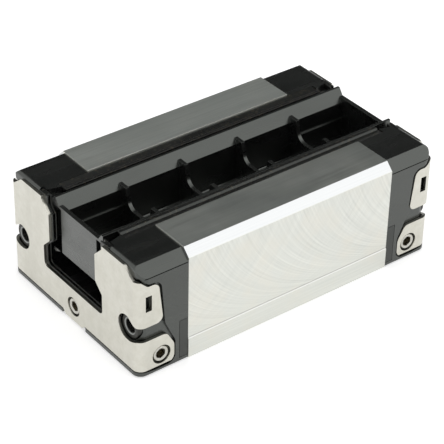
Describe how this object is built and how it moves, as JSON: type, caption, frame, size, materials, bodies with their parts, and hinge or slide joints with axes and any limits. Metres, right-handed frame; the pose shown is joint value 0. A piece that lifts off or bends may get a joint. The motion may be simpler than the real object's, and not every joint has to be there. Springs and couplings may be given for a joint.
{
  "type": "linear guide carriage",
  "caption": "Roller-type linear guide carriage: ground steel U block with black end caps, formed stainless end plates and a black plastic transport rail in its channel.",
  "frame": {"origin": "middle of the mounting face, which lies on the table", "axes": "+X along the travel, +Y across to the far side, +Z from the mounting face to the open channel"},
  "size_m": [0.1164, 0.07, 0.0398],
  "materials": {
    "ground_steel": "ground",
    "cap_plastic": "fine moulded grain",
    "plate_steel": "satin stainless",
    "seal_rubber": "matte",
    "guide_plastic": "moulded",
    "roller_steel": "polished",
    "screw_steel": "black oxide",
    "plug_steel": "zinc",
    "tray_plastic": "semi-matte moulded"
  },
  "bodies": {
    "carriage": {"runner_block": "ground_steel", "end_cap_right": "cap_plastic", "end_cap_left": "cap_plastic", "end_plate_right": "plate_steel", "end_plate_left": "plate_steel", "end_seal_right": "seal_rubber", "end_seal_left": "seal_rubber", "return_guide_far_right": "guide_plastic", "return_guide_far_left": "guide_plastic", "return_guide_near_right": "guide_plastic", "return_guide_near_left": "guide_plastic", "roller_row_lower_far": "roller_steel", "roller_row_lower_near": "roller_steel", "roller_row_upper_far": "roller_steel", "roller_row_upper_near": "roller_steel", "return_tube_lower_far": "guide_plastic", "return_tube_lower_near": "guide_plastic", "return_tube_upper_far": "guide_plastic", "return_tube_upper_near": "guide_plastic", "centre_strip_far": "guide_plastic", "centre_strip_near": "guide_plastic", "lower_strip_far": "guide_plastic", "lower_strip_near": "guide_plastic", "upper_strip_far": "guide_plastic", "upper_strip_near": "guide_plastic", "side_seal_far": "seal_rubber", "side_seal_near": "seal_rubber", "cap_screws_right": "screw_steel", "cap_screws_left": "screw_steel", "front_plug_right": "plug_steel", "front_plug_left": "plug_steel", "side_plugs_right": "plug_steel", "side_plugs_left": "plug_steel"},
    "transport_rail": {"transport_rail": "tray_plastic"}
  },
  "joints": [
    {"name": "transport_slide", "type": "slide", "parent": "carriage", "child": "transport_rail", "axis": [1, 0, 0], "range_m": [-0.1, 0.1]}
  ]
}
